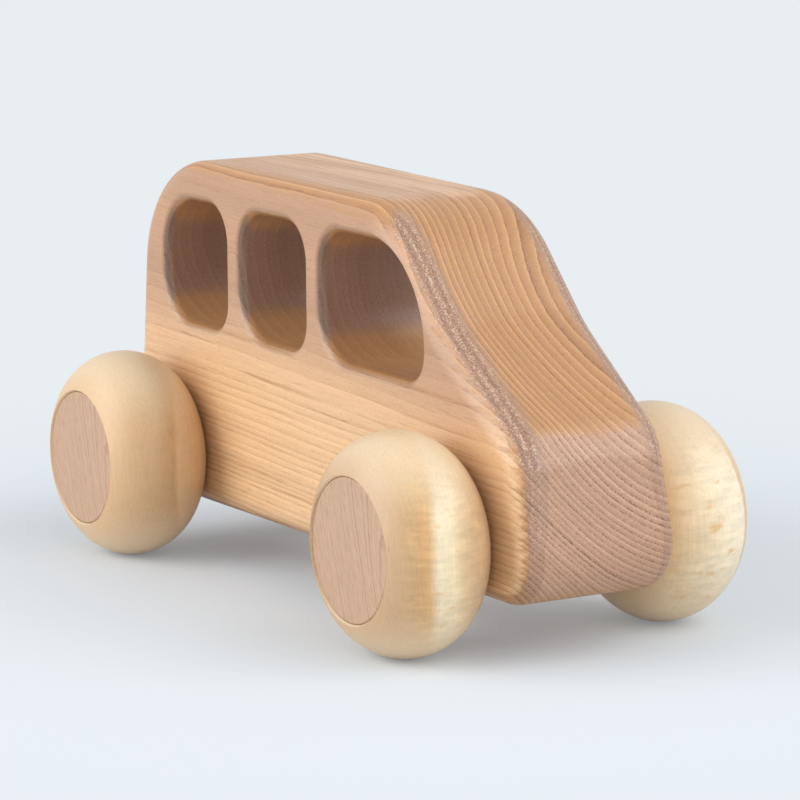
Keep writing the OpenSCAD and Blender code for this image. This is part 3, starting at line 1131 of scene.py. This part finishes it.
@dataclass
class AxleSet:
    """A dowel axle with a turned wheel on each end and a disc let into each wheel."""

    end: End
    wheel_birch: dict[Side, Material]
    disc_birch: Material
    dowel: Material
    disc_turn: float = 20.0
    wheel_r: float = 22.5
    half_width: float = 11.7
    tread_r: float = 12.7
    bore_r: float = 5.05
    disc_rim: float = 0.2
    disc_t: float = 5.0
    disc_sink: float = 0.3
    bevel: float = 0.5
    lip: float = 0.3
    glue_gap: float = 0.05
    segments: int = 160
    tread_steps: int = 64
    bevel_steps: int = 6
    disc_rings: tuple[float, ...] = (0.9, 0.7, 0.45, 0.2, 0.0)
    crease: float = 28.0

    @property
    def seat_r(self) -> float:
        """Radius of the seat that the disc lies in."""
        face_r = self.wheel_r - self.tread_r + math.sqrt(self.tread_r ** 2 - self.half_width ** 2)
        return face_r - self.disc_rim

    @property
    def seat_z(self) -> float:
        """Height of the seat's floor above the wheel's middle."""
        return self.half_width - self.disc_sink - self.disc_t

    def wheel_profile(self) -> list[tuple[float, float]]:
        """Draws half the wheel's section.

        Returns:
            Points as (radius, height), anticlockwise from the body's side of its bore.
        """
        core_r = self.wheel_r - self.tread_r
        low = -math.asin(self.half_width / self.tread_r)
        high = math.acos((self.seat_r + self.lip - core_r) / self.tread_r)
        angles = np.linspace(low, high, self.tread_steps + 1)
        tread = [(core_r + self.tread_r * math.cos(a), self.tread_r * math.sin(a)) for a in angles]
        foot = self.half_width - self.bevel
        return [
            (self.bore_r, -self.half_width),
            *tread,
            (self.seat_r, foot),
            (self.seat_r, self.seat_z),
            (self.bore_r, self.seat_z),
        ]

    def disc_profile(self) -> list[tuple[float, float]]:
        """Draws half the disc's section.

        Returns:
            Points as (radius, height), anticlockwise from the middle of its back.
        """
        r = self.seat_r - self.glue_gap
        face = self.half_width - self.disc_sink
        rim = [
            (r - self.bevel * (1 - math.cos(a)), face - self.bevel * (1 - math.sin(a)))
            for a in np.radians(np.linspace(0, 90, self.bevel_steps + 1))
        ]
        inner = [(r * share, face) for share in self.disc_rings]
        return [(0.0, self.seat_z), (r, self.seat_z), *rim, *inner]

    def build(self) -> list[Piece]:
        """Builds both wheels and discs and dresses the axle.

        Returns:
            The new pieces.
        """
        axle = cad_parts[f"{self.end.value}_axle"]
        axle.data.materials.clear()
        axle.data.materials.append(self.dowel)
        pieces = []
        for side in Side:
            name = f"{self.end.value}_{side.name.lower()}"
            low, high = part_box(f"{name}_wheel")
            outwards = Matrix.Rotation(math.radians(-90 * side.value), 4, "X")
            seat = Matrix.Translation((low + high) / 2) @ outwards @ Matrix.Rotation(math.radians(90), 4, "Z")
            wheel = new_piece(f"{name}_wheel_birch", *lathe(self.wheel_profile(), self.segments))
            disc = new_piece(f"{name}_disc_birch", *lathe(self.disc_profile(), self.segments))
            for piece, node, birch, slot in (
                (wheel, f"{name}_wheel", self.wheel_birch[side], "turned_birch"),
                (disc, f"{name}_hub_disc", self.disc_birch, "hub_birch"),
            ):
                grain = Matrix.Rotation(math.radians(self.disc_turn if piece is disc else 0.0), 4, "Z")
                piece.matrix_world = seat @ grain
                piece.data.materials.append(birch)
                finish_normals(piece, self.crease)
                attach(piece, f"{self.end.value}_axle_set")
                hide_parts(node)
                pieces.append(piece)
        return pieces


@dataclass(frozen=True)
class Lamp:
    """A square soft box: where it hangs and how long its sides are, in metres, and its power in watts."""

    name: str
    place: tuple[float, float, float]
    size: float
    power: float


@dataclass
class Studio:
    """The pale floor, the soft lights and the camera."""

    backdrop: str = "#e8eef2"
    paper: str = "#dbe0e5"
    paper_roughness: float = 0.9
    paper_shine: float = 0.1
    fade: tuple[float, float] = (95.0, 270.0)
    near_glow: float = 0.2
    floor_half: float = 4000.0
    ambient: float = 0.68
    lamps: tuple[Lamp, ...] = (
        Lamp("key", (0.74, 0.54, 0.78), 1.0, 7.0),
        Lamp("front", (1.2, -0.1, 0.45), 1.0, 3.6),
        Lamp("fill", (-0.35, -1.1, 0.55), 1.1, 12.5),
    )
    azimuth: float = 59.29
    elevation: float = 9.819
    roll: float = -0.443
    distance: float = 836.5
    target: tuple[float, float, float] = (5.889, 0.0, 40.926)
    lens: float = 180.0
    sensor: float = 36.0

    def build(self) -> None:
        """Sets the whole studio up."""
        self._floor()
        self._world()
        for lamp in self.lamps:
            self._hang(lamp)
        self._camera()

    def _seen(self, graph: Graph) -> Socket:
        """Tells rays that show the backdrop, directly or in a reflection, from rays that carry light.

        Args:
            graph: Nodes of a material or of the world.

        Returns:
            1 for a camera, glossy or transmission ray, and 0 for any other.
        """
        path = add_node(graph.tree, "ShaderNodeLightPath").outputs
        mirrored = graph.calc("MAXIMUM", path["Is Camera Ray"], path["Is Glossy Ray"])
        return graph.calc("MAXIMUM", mirrored, path["Is Transmission Ray"])

    def _floor(self) -> None:
        """Lays a pale floor that keeps the bus's shadow near it and fades into the backdrop further out."""
        points = self.floor_half * np.array([(-1, -1, 0), (1, -1, 0), (1, 1, 0), (-1, 1, 0)])
        floor = new_piece("floor", points, [(0, 1, 2, 3)])
        material, graph, shader = new_material("paper_matt_white")
        shader.inputs["Base Color"].default_value = linear(self.paper)
        shader.inputs["Roughness"].default_value = self.paper_roughness
        shader.inputs["Specular IOR Level"].default_value = self.paper_shine
        reach = graph.vector("LENGTH", add_node(graph.tree, "ShaderNodeTexCoord").outputs["Object"])
        far = graph.remap(reach, (self.fade[0] * MM, self.fade[1] * MM), (self.near_glow, 1.0), smooth=True)
        glow = add_node(graph.tree, "ShaderNodeEmission", {"Color": linear(self.backdrop), "Strength": 1.0})
        both = add_node(graph.tree, "ShaderNodeMixShader", {
            0: graph.product(far, self._seen(graph)), 1: shader.outputs["BSDF"], 2: glow.outputs["Emission"]})
        output = next(n for n in graph.tree.nodes if n.type == "OUTPUT_MATERIAL")
        graph.link(both.outputs["Shader"], output, "Surface")
        floor.data.materials.append(material)

    def _world(self) -> None:
        """Surrounds the bus with pale even light, and shows the backdrop's own colour to the camera."""
        world = bpy.data.worlds.new("studio")
        bpy.context.scene.world = world
        world.use_nodes = True
        graph = Graph(world.node_tree)
        graph.tree.nodes.clear()
        strength = graph.remap(self._seen(graph), to=(self.ambient, 1.0))
        background = add_node(graph.tree, "ShaderNodeBackground", {
            "Color": linear(self.backdrop), "Strength": strength})
        add_node(graph.tree, "ShaderNodeOutputWorld", {"Surface": background.outputs["Background"]})

    def _hang(self, lamp: Lamp) -> None:
        """Hangs one soft box, turned to the bus.

        Args:
            lamp: The soft box.
        """
        light = bpy.data.lights.new(lamp.name, "AREA")
        light.energy = lamp.power
        light.size = lamp.size
        box = bpy.data.objects.new(lamp.name, light)
        box.location = lamp.place
        aim = Vector(self.target) * MM - Vector(lamp.place)
        box.rotation_euler = aim.to_track_quat("-Z", "Y").to_euler()
        bpy.context.scene.collection.objects.link(box)

    def _camera(self) -> None:
        """Places the camera as the photograph was taken."""
        a, e, r = (math.radians(v) for v in (self.azimuth, self.elevation, self.roll))
        back = Vector((math.sin(a) * math.cos(e), -math.cos(a) * math.cos(e), math.sin(e)))
        right = Vector((math.cos(a), math.sin(a), 0))
        up = back.cross(right)
        right, up = (math.cos(r) * right + math.sin(r) * up, math.cos(r) * up - math.sin(r) * right)
        data = bpy.data.cameras.new("camera")
        data.lens = self.lens
        data.sensor_width = self.sensor
        camera = bpy.data.objects.new("camera", data)
        turn = Matrix((right, up, back)).transposed().to_4x4()
        camera.matrix_world = Matrix.Translation((Vector(self.target) + self.distance * back) * MM) @ turn
        bpy.context.scene.collection.objects.link(camera)
        bpy.context.scene.camera = camera


def main() -> None:
    """Builds the bus and its studio."""
    logging.basicConfig(level=logging.INFO, format="%(message)s")
    bpy.context.scene.view_settings.view_transform = "Standard"
    body = BusBody(OiledElm().material()).build()
    log.info("%s: %d points", body.name, len(body.data.vertices))
    banded = TurnedBirch("birch_turned_banded").material()
    cream = TurnedBirch("birch_turned_cream", CREAM_YEAR, pith=(-6.0, 44.0), shift=0.05).material()
    tan = TurnedBirch("birch_turned_tan", TAN_YEAR, pith=(4.0, 46.0), shift=0.3, ripple=0.03).material()
    wheels = {End.FRONT: {Side.RIGHT: banded, Side.LEFT: cream}, End.REAR: {Side.RIGHT: tan, Side.LEFT: tan}}
    disc_birch = SlicedBirch("birch_sliced_oiled", "#c09c80", "#a58062").material()
    dowel = SlicedBirch("birch_dowel_sanded", "#dcb98a", "#c39a68").material()
    for end in End:
        for piece in AxleSet(end, wheels[end], disc_birch, dowel).build():
            log.info("%s: %d points", piece.name, len(piece.data.vertices))
    Studio().build()


if __name__ == "__main__":
    main()
